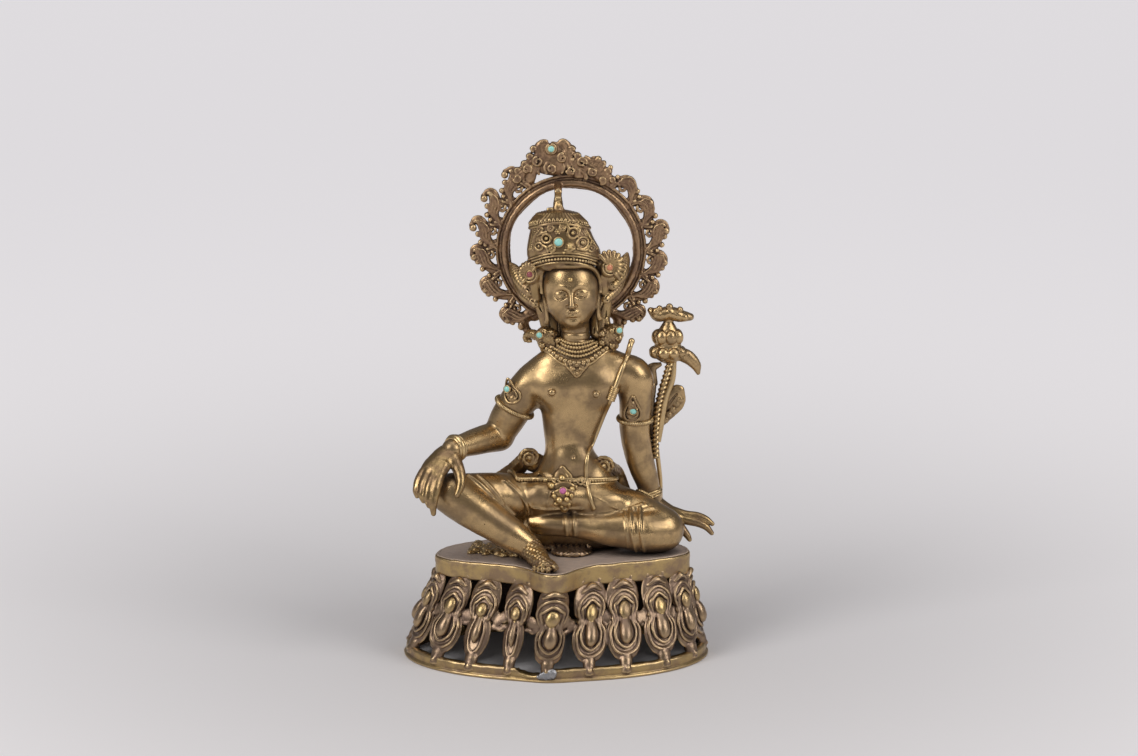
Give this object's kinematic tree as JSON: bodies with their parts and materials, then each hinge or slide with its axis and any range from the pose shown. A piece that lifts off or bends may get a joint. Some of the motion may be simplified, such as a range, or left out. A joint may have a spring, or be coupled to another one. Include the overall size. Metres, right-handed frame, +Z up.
{
  "type": "seated bodhisattva figure",
  "caption": "Cast brass bodhisattva seated at royal ease on an openwork double-lotus pedestal, with a flame halo, a lotus spray and inset stones.",
  "frame": {"origin": "middle of the object's box at the foot of the pedestal, on the surface it stands on", "axes": "+Z up along the figure; the figure faces -Y; +X is on the viewer's right, at the figure's left hand"},
  "size_m": [0.1838, 0.1134, 0.3003],
  "materials": {
    "pedestal_brass": "brown patina, rubbed golden on the bands and high spots",
    "figure_brass": "handled olive-gold polish with brown patina in the hollows",
    "halo_brass": "dark reddish-brown patina with golden edges",
    "turquoise": "waxy pale green-blue stone",
    "dark_red_stone": "glossy dark red stone",
    "orange_stone": "glossy orange coral-like stone",
    "pink_stone": "glossy pink paste stone"
  },
  "bodies": {
    "root": {"lotus_pedestal": "pedestal_brass", "seated_figure": "figure_brass", "flame_halo": "halo_brass", "turquoise_crown": "turquoise", "turquoise_halo": "turquoise", "turquoise_right_shoulder": "turquoise", "turquoise_left_shoulder": "turquoise", "turquoise_right_armlet": "turquoise", "turquoise_left_armlet": "turquoise", "red_stone_right_rosette": "dark_red_stone", "orange_stone_left_rosette": "orange_stone", "pink_stone_belt": "pink_stone"}
  },
  "joints": []
}
